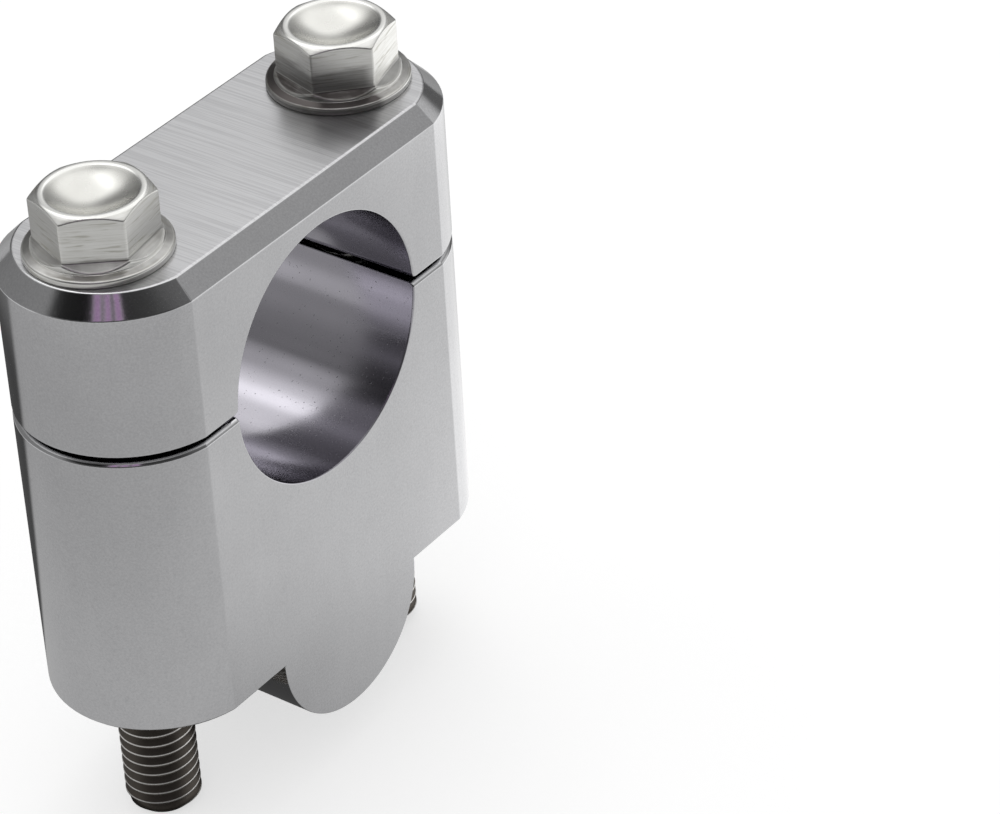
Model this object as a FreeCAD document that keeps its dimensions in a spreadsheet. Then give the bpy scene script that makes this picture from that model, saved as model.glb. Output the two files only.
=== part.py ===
import FreeCAD, Part
import os
import Sketcher

# Motorcycle bar riser: a two-piece clamp that carries a thick handlebar above a saddle made
# for a thin one. The half-round lug under the body takes the place of the thin bar, and two
# long flange bolts pass through cap and body into the saddle.
# Frame: origin at the centre of the bar bore, X from the front bolt to the rear bolt,
# Y along the bar, Z up. Sizes are in millimetres, angles in degrees.

SIZES = (
    ("bar_diameter", 28.6, "bore of the closed clamp"),
    ("bore_wall", 0.5, "metal between the bore and each bolt hole"),
    ("body_width", 23.4, "cap and body along the bar"),
    ("cap_crown", 3.9, "metal above the bore"),
    ("cap_chamfer", 2.0, "bevel round the top of the cap"),
    ("end_reach", 9.3, "how far each rounded end stands out from its crease lines"),
    ("seat_margin", 0.2, "flat ring left between a bolt flange and the cap's bevel"),
    ("split_gap", 0.5, "slit between cap and body, centred on the bore"),
    ("seam_bevel", 0.4, "bevel round the body's upper edge"),
    ("cap_skirt_break", 0.3, "bevel round the cap's lower edge"),
    ("jaw_round", 0.8, "rounding of the cap's lower edges inside the bore"),
    ("bore_break", 0.25, "broken edge at both mouths of the bore"),
    ("seat_drop", 33.5, "bore centre down to the seat on the saddle"),
    ("seat_break", 0.4, "bevel round the lower edge of the columns"),
    ("lug_diameter", 22.2, "half-round lug that fills the saddle"),
    ("thread_diameter", 8.0, "outer diameter of the bolt thread"),
    ("bolt_play", 0.4, "bolt hole diameter less thread diameter"),
    ("bolt_reach", 16.3, "bolt length below the seat, all of it threaded"),
    ("shank_relief", 0.8, "thread diameter less plain shank diameter"),
    ("tip_chamfer", 1.0, "bevel of the bolt tip"),
    ("hex_flats", 11.0, "bolt head across flats"),
    ("hex_height", 4.9, "straight part of the hexagon"),
    ("hex_crown_angle", 30.0, "slope of the turned bevel on the hexagon's top"),
    ("hex_crown_inset", 0.22, "top circle of the hexagon inside its flats"),
    ("facet_height", 0.65, "sloping feet of the hexagon's flats"),
    ("facet_flare", 1.0, "how far those feet spread"),
    ("collar_height", 0.1, "round step under the feet"),
    ("collar_lip", 0.2, "how far the step stands out past the hexagon's corners"),
    ("skirt_height", 0.3, "cone between the step and the rim"),
    ("rim_height", 0.75, "upright rim of the flange"),
    ("rim_break", 0.12, "broken edges of the rim"),
    ("flange_diameter", 15.0, "bolt flange"),
    ("dish_diameter", 9.4, "hollow in the bolt head"),
    ("dish_depth", 1.5, "hollow in the bolt head"),
    ("front_bolt_turn", 9.0, "angle of the front hexagon"),
    ("rear_bolt_turn", 14.5, "angle of the rear hexagon"),
)

# Derived sizes, as expressions over the sheet
BAR_RADIUS = "sizes.bar_diameter / 2"
HALF_WIDTH = "sizes.body_width / 2"
HALF_GAP = "sizes.split_gap / 2"
HOLE_RADIUS = "(sizes.thread_diameter + sizes.bolt_play) / 2"
BOLT_X = f"({BAR_RADIUS} + sizes.bore_wall + {HOLE_RADIUS})"
END_X = f"({BOLT_X} + sizes.flange_diameter / 2 + sizes.seat_margin + sizes.cap_chamfer)"
CREASE_X = f"({END_X} - sizes.end_reach)"
END_RADIUS = f"((sizes.end_reach ^ 2 + ({HALF_WIDTH}) ^ 2) / (2 * sizes.end_reach))"
CAP_TOP = f"({BAR_RADIUS} + sizes.cap_crown)"
HEX_CORNER = "(sizes.hex_flats / sqrt(3))"
COLLAR_RADIUS = f"({HEX_CORNER} + sizes.collar_lip)"
SKIRT_TOP = "(sizes.rim_height + sizes.skirt_height)"
COLLAR_TOP = f"({SKIRT_TOP} + sizes.collar_height)"
FACET_TOP = f"({COLLAR_TOP} + sizes.facet_height)"
HEAD_TOP = f"({FACET_TOP} + sizes.hex_height)"
THREAD_START = f"({CAP_TOP} + sizes.seat_drop)"
BOLT_LENGTH = f"({THREAD_START} + sizes.bolt_reach)"
FLANGE_RADIUS = "sizes.flange_diameter / 2"
THREAD_RADIUS = "sizes.thread_diameter / 2"
SHANK_RADIUS = "(sizes.thread_diameter - sizes.shank_relief) / 2"
DISH_RADIUS = "sizes.dish_diameter / 2"

BEVEL_SLOPE = -45.0
TOUCH = 0.001

doc = FreeCAD.newDocument("bar_riser")
sheet = doc.addObject("Spreadsheet::Sheet", "sizes")
for row, (alias, size, note) in enumerate(SIZES, start=1):
    sheet.set(f"A{row}", alias)
    sheet.set(f"B{row}", str(size))
    sheet.set(f"C{row}", note)
    sheet.setAlias(f"B{row}", alias)
doc.recompute()


def value(expression):
    """The number an expression over the sheet gives now."""
    return float(sheet.evalExpression(expression))


def origin_plane(body, role):
    """One of the body's own origin planes, such as XY_Plane."""
    for feature in body.Origin.OriginFeatures:
        if feature.Role == role:
            return feature
    raise ValueError(role)


def new_sketch(body, name, plane, height="0"):
    """An empty sketch on an origin plane, lifted along the plane's normal."""
    sketch = body.newObject("Sketcher::SketchObject", name)
    sketch.AttachmentSupport = [(origin_plane(body, plane), "")]
    sketch.MapMode = "FlatFace"
    if height != "0":
        sketch.setExpression("AttachmentOffset.Base.z", height)
    return sketch


def bind(sketch, kind, *arguments, size):
    """Add a dimension to a sketch and bind it to an expression."""
    index = sketch.addConstraint(Sketcher.Constraint(kind, *arguments, value(size)))
    sketch.setExpression(f"Constraints[{index}]", size)


def place_point(sketch, edge, end, x, y):
    """Hold one end of a sketch edge at a point given by two expressions."""
    for kind, axis, size in (("DistanceX", -2, x), ("DistanceY", -1, y)):
        if size == "0":
            sketch.addConstraint(Sketcher.Constraint("PointOnObject", edge, end, axis))
        else:
            bind(sketch, kind, edge, end, size=size)


def add_polygon(sketch, points):
    """A closed outline of straight edges through points given as expressions."""
    corners = [FreeCAD.Vector(value(x), value(y), 0) for x, y in points]
    count = len(points)
    for index in range(count):
        sketch.addGeometry(Part.LineSegment(corners[index], corners[(index + 1) % count]), False)
    for index in range(count):
        following = (index + 1) % count
        sketch.addConstraint(Sketcher.Constraint("Coincident", index, 2, following, 1))
    for index, (x, y) in enumerate(points):
        place_point(sketch, index, 1, x, y)


def add_circle(sketch, x, y, radius):
    """A full circle held by its centre and radius."""
    centre = FreeCAD.Vector(value(x), value(y), 0)
    edge = sketch.addGeometry(Part.Circle(centre, FreeCAD.Vector(0, 0, 1), value(radius)), False)
    place_point(sketch, edge, 3, x, y)
    bind(sketch, "Radius", edge, size=radius)


def extrude(body, kind, name, sketch, length=None, both_ways=False, taper=0.0):
    """A pad of a given length, or a pocket right through."""
    feature = body.newObject(f"PartDesign::{kind}", name)
    feature.Profile = sketch
    if both_ways:
        feature.SideType = "Symmetric"
    if length is None:
        feature.Type = "ThroughAll"
    else:
        feature.setExpression("Length", length)
        feature.TaperAngle = taper
    doc.recompute()
    return feature


def revolve(body, kind, name, sketch):
    """A full turn of a sketch about its upright axis."""
    feature = body.newObject(f"PartDesign::{kind}", name)
    feature.Profile = sketch
    feature.ReferenceAxis = (sketch, ["V_Axis"])
    feature.Angle = 360.0
    doc.recompute()
    return feature


def dress(body, kind, name, wanted, size):
    """A chamfer or fillet on those edges of the body for which wanted is true."""
    base = body.Tip
    edges = [f"Edge{n}" for n, edge in enumerate(base.Shape.Edges, start=1) if wanted(edge)]
    feature = body.newObject(f"PartDesign::{kind}", name)
    feature.Base = (base, edges)
    feature.setExpression("Size" if kind == "Chamfer" else "Radius", size)
    doc.recompute()
    return feature


def lies_at_height(edge, height):
    """Whether a whole edge lies in a level plane."""
    box = edge.BoundBox
    return abs(box.ZMin - height) < TOUCH and abs(box.ZMax - height) < TOUCH


def is_bore_mouth(edge):
    """Whether an edge is an arc of the bar bore on a side face."""
    box = edge.BoundBox
    on_side = abs(abs(box.YMin) - value(HALF_WIDTH)) < TOUCH and box.YLength < TOUCH
    return on_side and hasattr(edge.Curve, "Radius") and abs(edge.Curve.Radius - value(BAR_RADIUS)) < TOUCH


def draw_plan(body, name, height):
    """The plan that cap and body share: two flats and two rounded ends."""
    sketch = new_sketch(body, name, "XY_Plane", height)
    crease, half_width, end = value(CREASE_X), value(HALF_WIDTH), value(END_X)
    corners = {}
    for x_side in (-1, 1):
        for y_side in (-1, 1):
            corners[x_side, y_side] = FreeCAD.Vector(x_side * crease, y_side * half_width, 0)
    rear_tip, front_tip = FreeCAD.Vector(end, 0, 0), FreeCAD.Vector(-end, 0, 0)
    far_flat = sketch.addGeometry(Part.LineSegment(corners[1, 1], corners[-1, 1]), False)
    near_flat = sketch.addGeometry(Part.LineSegment(corners[-1, -1], corners[1, -1]), False)
    rear_end = sketch.addGeometry(Part.Arc(corners[1, -1], rear_tip, corners[1, 1]), False)
    front_end = sketch.addGeometry(Part.Arc(corners[-1, 1], front_tip, corners[-1, -1]), False)
    for first, second in ((near_flat, rear_end), (rear_end, far_flat), (far_flat, front_end),
                          (front_end, near_flat)):
        sketch.addConstraint(Sketcher.Constraint("Coincident", first, 2, second, 1))
    place_point(sketch, far_flat, 1, CREASE_X, HALF_WIDTH)
    place_point(sketch, far_flat, 2, f"-{CREASE_X}", HALF_WIDTH)
    place_point(sketch, near_flat, 1, f"-{CREASE_X}", f"-({HALF_WIDTH})")
    place_point(sketch, near_flat, 2, CREASE_X, f"-({HALF_WIDTH})")
    bind(sketch, "Radius", rear_end, size=END_RADIUS)
    bind(sketch, "Radius", front_end, size=END_RADIUS)
    return sketch


def add_block(body, name, bottom, top, lower_bevel, upper_bevel):
    """The shared plan padded from bottom to top, with a bevel round each end face."""
    middle = draw_plan(body, f"{name}_plan", f"{bottom} + {lower_bevel}")
    height = f"{top} - {upper_bevel} - ({bottom}) - {lower_bevel}"
    extrude(body, "Pad", f"{name}_block", middle, length=height)
    upper = draw_plan(body, f"{name}_upper_plan", f"{top} - {upper_bevel}")
    extrude(body, "Pad", f"{name}_upper_bevel", upper, length=upper_bevel, taper=BEVEL_SLOPE)
    lower = draw_plan(body, f"{name}_lower_plan", f"{bottom} + {lower_bevel}")
    lower_pad = extrude(body, "Pad", f"{name}_lower_bevel", lower, length=lower_bevel, taper=BEVEL_SLOPE)
    lower_pad.Reversed = True
    doc.recompute()


def cut_bore(body, name):
    """The bar bore, right through along Y."""
    sketch = new_sketch(body, f"{name}_bore_circle", "XZ_Plane")
    add_circle(sketch, "0", "0", BAR_RADIUS)
    return extrude(body, "Pocket", f"{name}_bore", sketch, both_ways=True)


def cut_bolt_holes(body, name):
    """The two bolt holes, right through along Z."""
    sketch = new_sketch(body, f"{name}_hole_circles", "XY_Plane")
    add_circle(sketch, f"-{BOLT_X}", "0", HOLE_RADIUS)
    add_circle(sketch, BOLT_X, "0", HOLE_RADIUS)
    return extrude(body, "Pocket", f"{name}_holes", sketch, both_ways=True)


def make_top_cap():
    """The cap over the bar, with a bevelled top."""
    body = doc.addObject("PartDesign::Body", "top_cap")
    add_block(body, "cap", HALF_GAP, CAP_TOP, "sizes.cap_skirt_break", "sizes.cap_chamfer")
    cut_bore(body, "cap")
    cut_bolt_holes(body, "cap")

    def is_jaw(edge):
        box = edge.BoundBox
        level = lies_at_height(edge, value(HALF_GAP))
        return level and box.XLength < TOUCH and abs(box.XMin) < value(BAR_RADIUS)

    dress(body, "Fillet", "cap_jaw_round", is_jaw, "sizes.jaw_round")
    dress(body, "Chamfer", "cap_bore_break", is_bore_mouth, "sizes.bore_break")
    return body


def make_riser_body():
    """The tall body with the lower half of the bore, two columns and the lug between them."""
    body = doc.addObject("PartDesign::Body", "riser_body")
    add_block(body, "riser", "-sizes.seat_drop", f"-{HALF_GAP}", "sizes.seat_break", "sizes.seam_bevel")
    sketch = new_sketch(body, "lug_circle", "XZ_Plane")
    add_circle(sketch, "0", "-sizes.seat_drop", "sizes.lug_diameter / 2")
    extrude(body, "Pad", "lug", sketch, length="sizes.body_width", both_ways=True)
    cut_bore(body, "riser")
    cut_bolt_holes(body, "riser")
    dress(body, "Chamfer", "riser_bore_break", is_bore_mouth, "sizes.bore_break")
    return body


def make_bolt(name, side, turn):
    """A long flange bolt with a dished hexagon head, its flange's underside at its own origin."""
    body = doc.addObject("PartDesign::Body", name)
    rim_inner = f"({FLANGE_RADIUS} - sizes.rim_break)"
    outline = new_sketch(body, f"{name}_turned_outline", "XZ_Plane")
    add_polygon(outline, (
        ("0", f"-{BOLT_LENGTH}"),
        (f"({THREAD_RADIUS} - sizes.tip_chamfer)", f"-{BOLT_LENGTH}"),
        (THREAD_RADIUS, f"-({BOLT_LENGTH} - sizes.tip_chamfer)"),
        (THREAD_RADIUS, f"-{THREAD_START}"),
        (SHANK_RADIUS, f"-{THREAD_START}"),
        (SHANK_RADIUS, "0"),
        (rim_inner, "0"),
        (FLANGE_RADIUS, "sizes.rim_break"),
        (FLANGE_RADIUS, "sizes.rim_height - sizes.rim_break"),
        (rim_inner, "sizes.rim_height"),
        (COLLAR_RADIUS, SKIRT_TOP),
        (COLLAR_RADIUS, COLLAR_TOP),
        ("0", COLLAR_TOP),
    ))
    revolve(body, "Revolution", f"{name}_turned", outline)

    def hexagon(label, height, flare):
        corner = f"(({HEX_CORNER}) + ({flare}) * 2 / sqrt(3))"
        sketch = new_sketch(body, label, "XY_Plane", height)
        add_polygon(sketch, (
            (corner, "0"),
            (f"{corner} / 2", f"{corner} * sqrt(3) / 2"),
            (f"-{corner} / 2", f"{corner} * sqrt(3) / 2"),
            (f"-{corner}", "0"),
            (f"-{corner} / 2", f"-{corner} * sqrt(3) / 2"),
            (f"{corner} / 2", f"-{corner} * sqrt(3) / 2"),
        ))
        return sketch

    feet = body.newObject("PartDesign::AdditiveLoft", f"{name}_facets")
    feet.Profile = hexagon(f"{name}_facet_feet", COLLAR_TOP, "sizes.facet_flare")
    feet.Sections = [hexagon(f"{name}_facet_tops", FACET_TOP, "0")]
    feet.Ruled = True
    doc.recompute()
    extrude(body, "Pad", f"{name}_hexagon", hexagon(f"{name}_hex_outline", FACET_TOP, "0"),
            length="sizes.hex_height")

    # The lathe cuts: feet trimmed to the collar, bevelled crown, round hollow
    outer = f"({COLLAR_RADIUS} + 2 * sizes.facet_flare)"
    trim = new_sketch(body, f"{name}_foot_trim_outline", "XZ_Plane")
    add_polygon(trim, (
        (COLLAR_RADIUS, COLLAR_TOP),
        (outer, COLLAR_TOP),
        (outer, FACET_TOP),
        (COLLAR_RADIUS, FACET_TOP),
    ))
    revolve(body, "Groove", f"{name}_foot_trim", trim)
    crown_radius = "(sizes.hex_flats / 2 - sizes.hex_crown_inset)"
    crown_drop = f"(({outer} - {crown_radius}) * tan(sizes.hex_crown_angle * 1 deg))"
    crown = new_sketch(body, f"{name}_crown_outline", "XZ_Plane")
    add_polygon(crown, (
        (crown_radius, HEAD_TOP),
        (outer, f"({HEAD_TOP} - {crown_drop})"),
        (outer, HEAD_TOP),
    ))
    revolve(body, "Groove", f"{name}_crown", crown)

    ball = f"((({DISH_RADIUS}) ^ 2 + sizes.dish_depth ^ 2) / (2 * sizes.dish_depth))"
    dish = new_sketch(body, f"{name}_dish_outline", "XZ_Plane")
    rim = FreeCAD.Vector(value(DISH_RADIUS), value(HEAD_TOP), 0)
    hub = FreeCAD.Vector(0, value(HEAD_TOP), 0)
    low = FreeCAD.Vector(0, value(f"{HEAD_TOP} - sizes.dish_depth"), 0)
    centre = FreeCAD.Vector(0, low.y + value(ball), 0)
    half_way = centre + ((rim + low) * 0.5 - centre).normalize() * value(ball)
    axis_line = dish.addGeometry(Part.LineSegment(low, hub), False)
    top_line = dish.addGeometry(Part.LineSegment(hub, rim), False)
    hollow = dish.addGeometry(Part.Arc(low, half_way, rim), False)
    dish.addConstraint(Sketcher.Constraint("Coincident", axis_line, 2, top_line, 1))
    dish.addConstraint(Sketcher.Constraint("Coincident", top_line, 2, hollow, 2))
    dish.addConstraint(Sketcher.Constraint("Coincident", axis_line, 1, hollow, 1))
    place_point(dish, axis_line, 1, "0", f"({HEAD_TOP} - sizes.dish_depth)")
    place_point(dish, axis_line, 2, "0", HEAD_TOP)
    place_point(dish, top_line, 2, DISH_RADIUS, HEAD_TOP)
    bind(dish, "Radius", hollow, size=ball)
    revolve(body, "Groove", f"{name}_dish", dish)

    body.Placement.Rotation = FreeCAD.Rotation(FreeCAD.Vector(0, 0, 1), value(f"sizes.{turn}"))
    body.setExpression("Placement.Base.x", f"{side} * {BOLT_X}")
    body.setExpression("Placement.Base.z", CAP_TOP)
    return body


parts = (
    make_top_cap(),
    make_riser_body(),
    make_bolt("front_bolt", -1, "front_bolt_turn"),
    make_bolt("rear_bolt", 1, "rear_bolt_turn"),
)
doc.recompute()

for item in doc.Objects:
    if "Invalid" in item.State or "Error" in item.State:
        raise RuntimeError(f"{item.Label} failed: {item.State}")
for part in parts:
    shape = part.Shape
    if shape.isNull() or not shape.isValid() or len(shape.Solids) != 1:
        raise RuntimeError(f"{part.Label} is not one valid solid")

os.makedirs("parts", exist_ok=True)
for part in parts:
    part.Shape.exportStep(f"parts/{part.Label}.step")
    box = part.Shape.BoundBox
    print(f"{part.Label}: {part.Shape.Volume:.1f} mm3, "
          f"X {box.XMin:.2f} to {box.XMax:.2f}, Y {box.YMin:.2f} to {box.YMax:.2f}, "
          f"Z {box.ZMin:.2f} to {box.ZMax:.2f}")
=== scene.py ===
import math

import bmesh
import bpy
from mathutils import Matrix, Vector


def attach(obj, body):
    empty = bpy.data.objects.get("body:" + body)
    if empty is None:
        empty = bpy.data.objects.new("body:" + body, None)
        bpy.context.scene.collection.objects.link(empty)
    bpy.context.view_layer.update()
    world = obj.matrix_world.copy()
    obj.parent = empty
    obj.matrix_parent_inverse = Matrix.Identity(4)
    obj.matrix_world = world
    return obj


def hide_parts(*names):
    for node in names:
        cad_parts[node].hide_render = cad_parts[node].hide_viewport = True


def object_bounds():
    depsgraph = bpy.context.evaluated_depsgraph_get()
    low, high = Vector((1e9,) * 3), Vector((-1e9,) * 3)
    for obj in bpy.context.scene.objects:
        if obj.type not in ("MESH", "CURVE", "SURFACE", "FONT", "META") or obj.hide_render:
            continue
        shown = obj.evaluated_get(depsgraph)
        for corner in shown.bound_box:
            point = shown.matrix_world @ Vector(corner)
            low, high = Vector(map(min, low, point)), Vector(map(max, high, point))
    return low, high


bl_info = {
    "name": "Handlebar Riser",
    "version": (1, 0, 0),
    "blender": (4, 5, 0),
    "location": "View3D > Sidebar > Riser",
    "description": "Builds a tall two-piece handlebar riser, its flange bolts and a pale stage",
    "category": "Add Mesh",
}

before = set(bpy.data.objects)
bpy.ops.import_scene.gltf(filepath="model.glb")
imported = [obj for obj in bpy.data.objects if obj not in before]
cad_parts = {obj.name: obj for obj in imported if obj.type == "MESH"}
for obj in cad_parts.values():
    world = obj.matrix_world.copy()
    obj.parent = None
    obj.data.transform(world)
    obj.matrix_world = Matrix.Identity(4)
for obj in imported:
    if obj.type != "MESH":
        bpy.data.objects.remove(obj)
CAD_BOX = [list(corner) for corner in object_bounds()]
MM = 0.001
BODY = "root"

# Corners nearer than SAME_PLACE are one corner. Levels nearer than TOUCH are one level.
SAME_PLACE = 0.0001 * MM
TOUCH = 0.001 * MM
# The two sides of the clamp: -1 is the front end or the near flat, 1 the rear end or the far flat.
BOTH = (-1, 1)
# Finishes of a clamp half, in the order of its materials.
SIDES, TOP, BORE, HIDDEN = range(4)
# Finishes of a bolt, in the order of its materials.
HEAD, THREAD = range(2)
# Steps along a rounded end, a quarter of the bore, a jaw's rounding, half a bolt hole, the lug,
# a softened corner, the dish from its middle to its edge, and one turn of the thread.
END_STEPS, BORE_STEPS, JAW_STEPS, HOLE_STEPS, LUG_STEPS = 32, 24, 3, 24, 48
SOFT_STEPS, DISH_STEPS, THREAD_STEPS = 3, 12, 64
# Angles from the middle of a flat, in degrees, close together at the hexagon's corners.
SLANTS = (-30.0, -29.2, -28.4, -24.0, -18.0, -12.0, -6.0, 0.0, 6.0, 12.0, 18.0, 24.0, 28.4, 29.2)

# Stage, in metres: the floor's reach each way, its gap below the bolt tips, and the two lamps.
FLOOR_REACH = 3.0
FLOOR_GAP = 0.05 * MM
KEY_SIZE = 0.6
FILL_PLACE = (-0.5, -0.3, 0.5)
FILL_SIZE = 0.35
# Camera: its place, then azimuth, elevation and roll in degrees, the sensor in millimetres, and
# the distances between which it sees.
CAMERA_PLACE = (-0.26531, -0.23728, 0.22789)
CAMERA_ANGLES = (-52.3988, 34.1879, -3.3558)
SENSOR_WIDTH = 36.0
NEAREST, FARTHEST = 0.01, 20.0

# The way to the soft box, and the sky's tone by the cosine of the angle away from it.
SOFTBOX_WAY = (0.407, 0.235, 0.883)
SKY_STOPS = (
    (0.0, 0.36), (0.2, 0.24), (0.34, 0.2), (0.41, 0.05), (0.5, 0.06), (0.535, 0.14), (0.57, 0.38),
    (0.66, 0.46), (0.74, 0.44), (0.8, 0.7), (0.865, 0.96), (0.89, 1.38), (0.92, 1.4), (0.95, 1.25),
    (1.0, 1.2),
)
# The tables below go by the compass in degrees, where 0 is along +X and 90 along +Y.
# Share of the soft box that shows.
FRONT_STOPS = ((-180, 0.3), (-95, 0.3), (-66, 0.4), (-50, 1), (150, 1), (165, 0.4), (180, 0.3))
# Share of the soft box that is lost low in the sky.
DIM_STOPS = (
    (-180, 0), (-24, 0), (-8, 0.25), (18, 0.25), (28, 0), (40, 0), (52, 0.6), (108, 0.5), (122, 0),
    (180, 0),
)
# Least tone of the room.
LEAST_STOPS = (
    (-180, 0.03), (-90, 0.05), (-66, 0.16), (60, 0.12), (90, 0.18), (138, 0.2), (146, 0.12),
    (156, 0.05), (180, 0.03),
)
# Extra brightness of the room and the far floor behind on the left.
BACK_STOPS = ((-180, 0), (64, 0), (72, 0.46), (141, 0.46), (147, 0), (180, 0))
# Share that the room loses high up on the left.
DARK_STOPS = ((-180, 0), (126, 0), (135, 0.6), (180, 0.6))
# Tone of the pale wall low on the right.
WALL_STOPS = ((-180, 0), (-95, 0), (-75, 0.8), (-18, 1.0), (-4, 0), (180, 0))
# The three tubes over the front.
TUBE_STOPS = (
    (-180, 0), (-174, 0), (-171, 1), (-165, 1), (-163, 0.15), (-161, 0.15), (-158, 1), (-153, 1),
    (-150.5, 0.1), (-148, 0.1), (-146, 1), (-140, 1), (-137, 0), (180, 0),
)
# Tone of the floor, the share it loses in the object's shade, and the share it loses far off.
FLOOR_STOPS = (
    (-180, 0.55), (-100, 0.6), (-70, 0.69), (-42, 0.8), (-20, 1.18), (5, 1.1), (28, 0.6),
    (60, 0.45), (112, 0.48), (125, 0.52), (180, 0.55),
)
SHADE_STOPS = ((-180, 0), (28, 0), (45, 0.65), (60, 0.82), (106, 0.84), (112, 0), (180, 0))
DISTANT_STOPS = ((-180, 0), (-8, 0), (10, 0.6), (38, 0.6), (60, 0), (180, 0))


def length(label, note, millimetres):
    """A length property, stored in metres."""
    return bpy.props.FloatProperty(
        name=label, description=note, default=millimetres * MM, unit="LENGTH", precision=5
    )


def colour(label, note, rgb):
    """A linear colour property."""
    return bpy.props.FloatVectorProperty(
        name=label, description=note, default=rgb, subtype="COLOR", size=3, min=0.0, max=1.0
    )


def share(label, note, amount):
    """A plain number from nought to one."""
    return bpy.props.FloatProperty(
        name=label, description=note, default=amount, subtype="FACTOR", min=0.0, max=1.0
    )


def angle(label, note, degrees):
    """An angle property, stored in radians."""
    return bpy.props.FloatProperty(
        name=label, description=note, default=math.radians(degrees), subtype="ANGLE"
    )


def power(label, note, watts):
    """The power of one lamp."""
    return bpy.props.FloatProperty(
        name=label, description=note, default=watts, unit="POWER", min=0.0
    )


class ClampSizes(bpy.types.PropertyGroup):
    """Sizes that the cap and the body share, and those of each alone."""

    bore_radius: length("Bore radius", "Radius of the bar bore", 14.3)
    half_width: length("Half width", "Half the width along the bar", 11.7)
    end_x: length("End", "Bore centre to the tip of a rounded end", 28.7)
    crease_x: length("Crease", "Bore centre to the crease beside a rounded end", 19.4)
    half_gap: length("Half split", "Half the slit between cap and body", 0.25)
    cap_height: length("Cap height", "Bore centre up to the top of the cap", 18.2)
    cap_bevel: length("Cap bevel", "Bevel round the top of the cap", 2.0)
    cap_skirt: length("Cap skirt", "Bevel round the lower edge of the cap", 0.3)
    jaw_round: length("Jaw rounding", "Rounding of the cap's lower edges in the bore", 0.8)
    seat_depth: length("Seat depth", "Bore centre down to the seat", 33.5)
    seam_bevel: length("Seam bevel", "Bevel round the upper edge of the body", 0.4)
    seat_break: length("Seat edge", "Bevel round the lower edge of the columns", 0.4)
    lug_radius: length("Lug radius", "Radius of the half-round lug", 11.1)
    mouth_break: length("Bore edge", "Broken edge at both mouths of the bore", 0.2)
    edge_break: length("Fine edge", "Rounding of the other crisp edges", 0.1)
    top_break: length("Top edge", "Rounding round the cap's top face", 0.17)
    seam_break: length("Seam edge", "Rounding of the body's edge in the slit", 0.34)
    bolt_x: length("Bolt place", "Bore centre to each bolt axis", 19.0)
    hole_radius: length("Bolt hole", "Radius of the bolt holes", 4.2)


class BoltSizes(bpy.types.PropertyGroup):
    """Sizes of the two flange bolts, measured from the underside of the flange."""

    flange_radius: length("Flange radius", "Outer radius of the flange", 7.5)
    rim_height: length("Rim", "Upright rim of the flange", 0.75)
    rim_break: length("Rim edge", "Broken edges of the rim", 0.12)
    skirt_top: length("Skirt top", "Top of the cone above the rim", 1.05)
    collar_radius: length("Collar radius", "Round step under the hexagon", 6.55)
    collar_top: length("Collar top", "Top of the round step", 1.15)
    facet_top: length("Facet top", "Where the flats begin", 1.8)
    facet_flare: length("Facet flare", "How far the feet of the flats spread", 1.0)
    head_top: length("Head top", "Top of the hexagon", 6.7)
    half_flats: length("Half flats", "Half the width across flats", 5.5)
    corner_round: length("Corner rounding", "Radius of the hexagon's upright corners", 0.35)
    crown_radius: length("Crown circle", "Top circle of the turned bevel", 5.28)
    crown_slope: angle("Crown slope", "Slope of the turned bevel", 30.0)
    dish_radius: length("Dish radius", "Radius of the hollow in the head", 4.7)
    dish_depth: length("Dish depth", "Depth of the hollow in the head", 1.5)
    shank_radius: length("Shank radius", "Radius of the plain shank", 3.6)
    thread_radius: length("Thread radius", "Radius over the thread's crests", 4.0)
    thread_depth: length("Thread depth", "Crest to root", 0.68)
    pitch: length("Pitch", "Distance between thread crests", 1.25)
    thread_inside: length("Thread inside", "Thread that goes on into the column", 2.5)
    reach: length("Reach", "Bolt length below the seat", 16.3)
    tip_chamfer: length("Tip chamfer", "Bevel of the bolt tip", 1.0)
    front_turn: angle("Front turn", "Angle of the front hexagon", 9.0)
    rear_turn: angle("Rear turn", "Angle of the rear hexagon", 14.5)


class Finishes(bpy.types.PropertyGroup):
    """Colours of the metals."""

    aluminium: colour("Aluminium", "Clean polished aluminium", (0.64, 0.64, 0.65))
    aluminium_dull: colour("Dull aluminium", "Hazy patches of the aluminium", (0.54, 0.54, 0.55))
    # Painted shade and a painted reflection: the bore's two colours are darker than the sides'
    # aluminium and tinted lilac.
    bore: colour("Bore", "Bored aluminium with a lilac cast", (0.46, 0.447, 0.49))
    bore_dull: colour("Dull bore", "Worn places in the bore", (0.36, 0.347, 0.382))
    steel: colour("Plated steel", "Bright plated bolt heads", (0.84, 0.84, 0.82))
    steel_dull: colour("Dull steel", "Handled places on the bolt heads", (0.54, 0.53, 0.48))
    # Painted shade mixed with grime: this near-black colour darkens the corners round the foot of
    # each bolt head.
    darkening: colour("Grime", "Oily dirt in the corners of the heads", (0.08, 0.072, 0.07))
    thread: colour("Thread", "Oiled thread flanks", (0.13, 0.115, 0.10))
    # Rubbed metal on the thread crests, painted near white as a painted highlight.
    crest_wear_and_highlight: colour("Thread crest", "Rubbed thread crests", (0.92, 0.9, 0.87))


class StageSettings(bpy.types.PropertyGroup):
    """Floor, lamps and camera."""

    floor: colour("Floor", "Colour of the floor", (0.7, 0.7, 0.7))
    glow: share("Floor white", "How white the floor shows by itself", 0.6)
    sky: share("Sky", "Even light from all round", 0.45)
    tubes: colour("Tubes", "Tint of the three tubes over the front", (0.42, 0.26, 0.45))
    key: power("Key lamp", "Large soft lamp up behind on the right, in watts", 1.7)
    fill: power("Fill lamp", "Soft lamp on the left, in watts", 0.3)
    lens: bpy.props.FloatProperty(
        name="Lens", description="Focal length in millimetres", default=149.08, unit="CAMERA"
    )


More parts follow.
